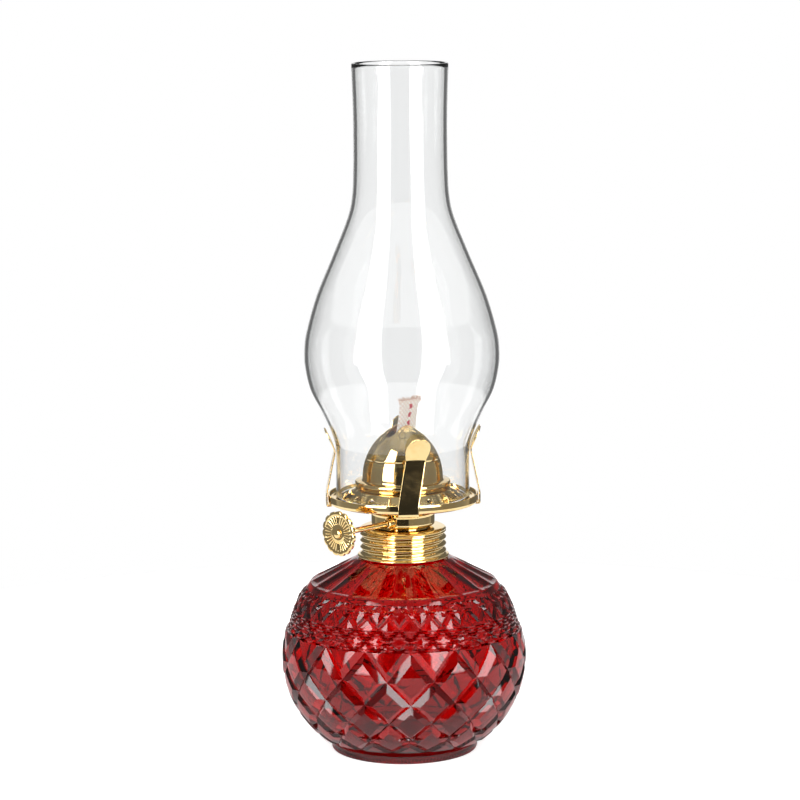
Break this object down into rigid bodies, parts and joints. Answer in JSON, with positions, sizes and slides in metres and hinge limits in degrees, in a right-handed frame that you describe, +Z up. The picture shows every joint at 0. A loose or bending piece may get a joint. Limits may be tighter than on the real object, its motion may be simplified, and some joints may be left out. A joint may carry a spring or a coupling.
{
  "type": "oil lamp",
  "caption": "Oil lamp with a round diamond-pressed glass font, a screw-on flat-wick burner, a wick raiser knob and a bulged glass chimney held by spring prongs.",
  "frame": {"origin": "centre of the flat foot, on the surface the lamp stands on", "axes": "+Z up along the lamp's axis, -Y towards the front, +X to the right"},
  "size_m": [0.1144, 0.1144, 0.3207],
  "materials": {
    "ruby_glass": "transparent deep red pressed glass, glossy",
    "clear_glass": "thin clear blown glass",
    "brass": "bright brass plate, polished",
    "cotton": "woven cotton wick with a red tracer thread",
    "cork": "cork gasket"
  },
  "bodies": {
    "font": {"font": "ruby_glass"},
    "gasket": {"neck_gasket": "cork"},
    "burner": {"screw_collar": "brass", "burner_drum": "brass", "shaft_bush": "brass", "wick_tube": "brass", "gallery": "brass"},
    "dome": {"dome_skirt": "brass", "dome_cap": "brass"},
    "chimney": {"chimney": "clear_glass"},
    "raiser": {"wick_shaft": "brass", "sprocket_outer": "brass", "sprocket_inner": "brass", "knob_disc": "brass", "knob_rivet": "brass"},
    "wick": {"flat_wick": "cotton"},
    "prong_front": {"prong_front": "brass"},
    "prong_right": {"prong_right": "brass"},
    "prong_back": {"prong_back": "brass"},
    "prong_left": {"prong_left": "brass"}
  },
  "joints": [
    {"name": "burner_lift", "type": "slide", "parent": "font", "child": "gasket", "axis": [0, 0, 1], "range_m": [0, 0.00945]},
    {"name": "burner_turn", "type": "hinge", "parent": "gasket", "child": "burner", "pos_m": [0, 0, 0.1045], "axis": [0, 0, 1], "range_deg": [0, 1081]},
    {"name": "chimney_lift", "type": "slide", "parent": "burner", "child": "chimney", "axis": [0, 0, 1], "range_m": [0, 0.06]},
    {"name": "dome_lift", "type": "slide", "parent": "burner", "child": "dome", "axis": [0, 0, 1], "range_m": [0, 0.03]},
    {"name": "knob_turn", "type": "hinge", "parent": "burner", "child": "raiser", "pos_m": [0.00389, -0.00389, 0.1095], "axis": [0.7071, 0.7071, 0], "range_deg": [-324, 162]},
    {"name": "wick_feed", "type": "slide", "parent": "burner", "child": "wick", "axis": [0, 0, 1], "range_m": [-0.024, 0.012]},
    {"name": "prong_front_flex", "type": "hinge", "parent": "burner", "child": "prong_front", "pos_m": [0.00257, -0.03581, 0.1162], "axis": [0.9974, 0.0715, 0], "range_deg": [0, 4], "stiffness_Nm_per_rad": 0.6},
    {"name": "prong_right_flex", "type": "hinge", "parent": "burner", "child": "prong_right", "pos_m": [0.03581, 0.00257, 0.1162], "axis": [-0.0715, 0.9974, 0], "range_deg": [0, 4], "stiffness_Nm_per_rad": 0.6},
    {"name": "prong_back_flex", "type": "hinge", "parent": "burner", "child": "prong_back", "pos_m": [-0.00257, 0.03581, 0.1162], "axis": [-0.9974, -0.0715, 0], "range_deg": [0, 4], "stiffness_Nm_per_rad": 0.6},
    {"name": "prong_left_flex", "type": "hinge", "parent": "burner", "child": "prong_left", "pos_m": [-0.03581, -0.00257, 0.1162], "axis": [0.0715, -0.9974, 0], "range_deg": [0, 4], "stiffness_Nm_per_rad": 0.6}
  ],
  "couplings": [
    {"joint": "burner_turn", "follows": "burner_lift", "rad_per_m": 1994.7},
    {"joint": "knob_turn", "follows": "wick_feed", "rad_per_m": 235.29}
  ]
}
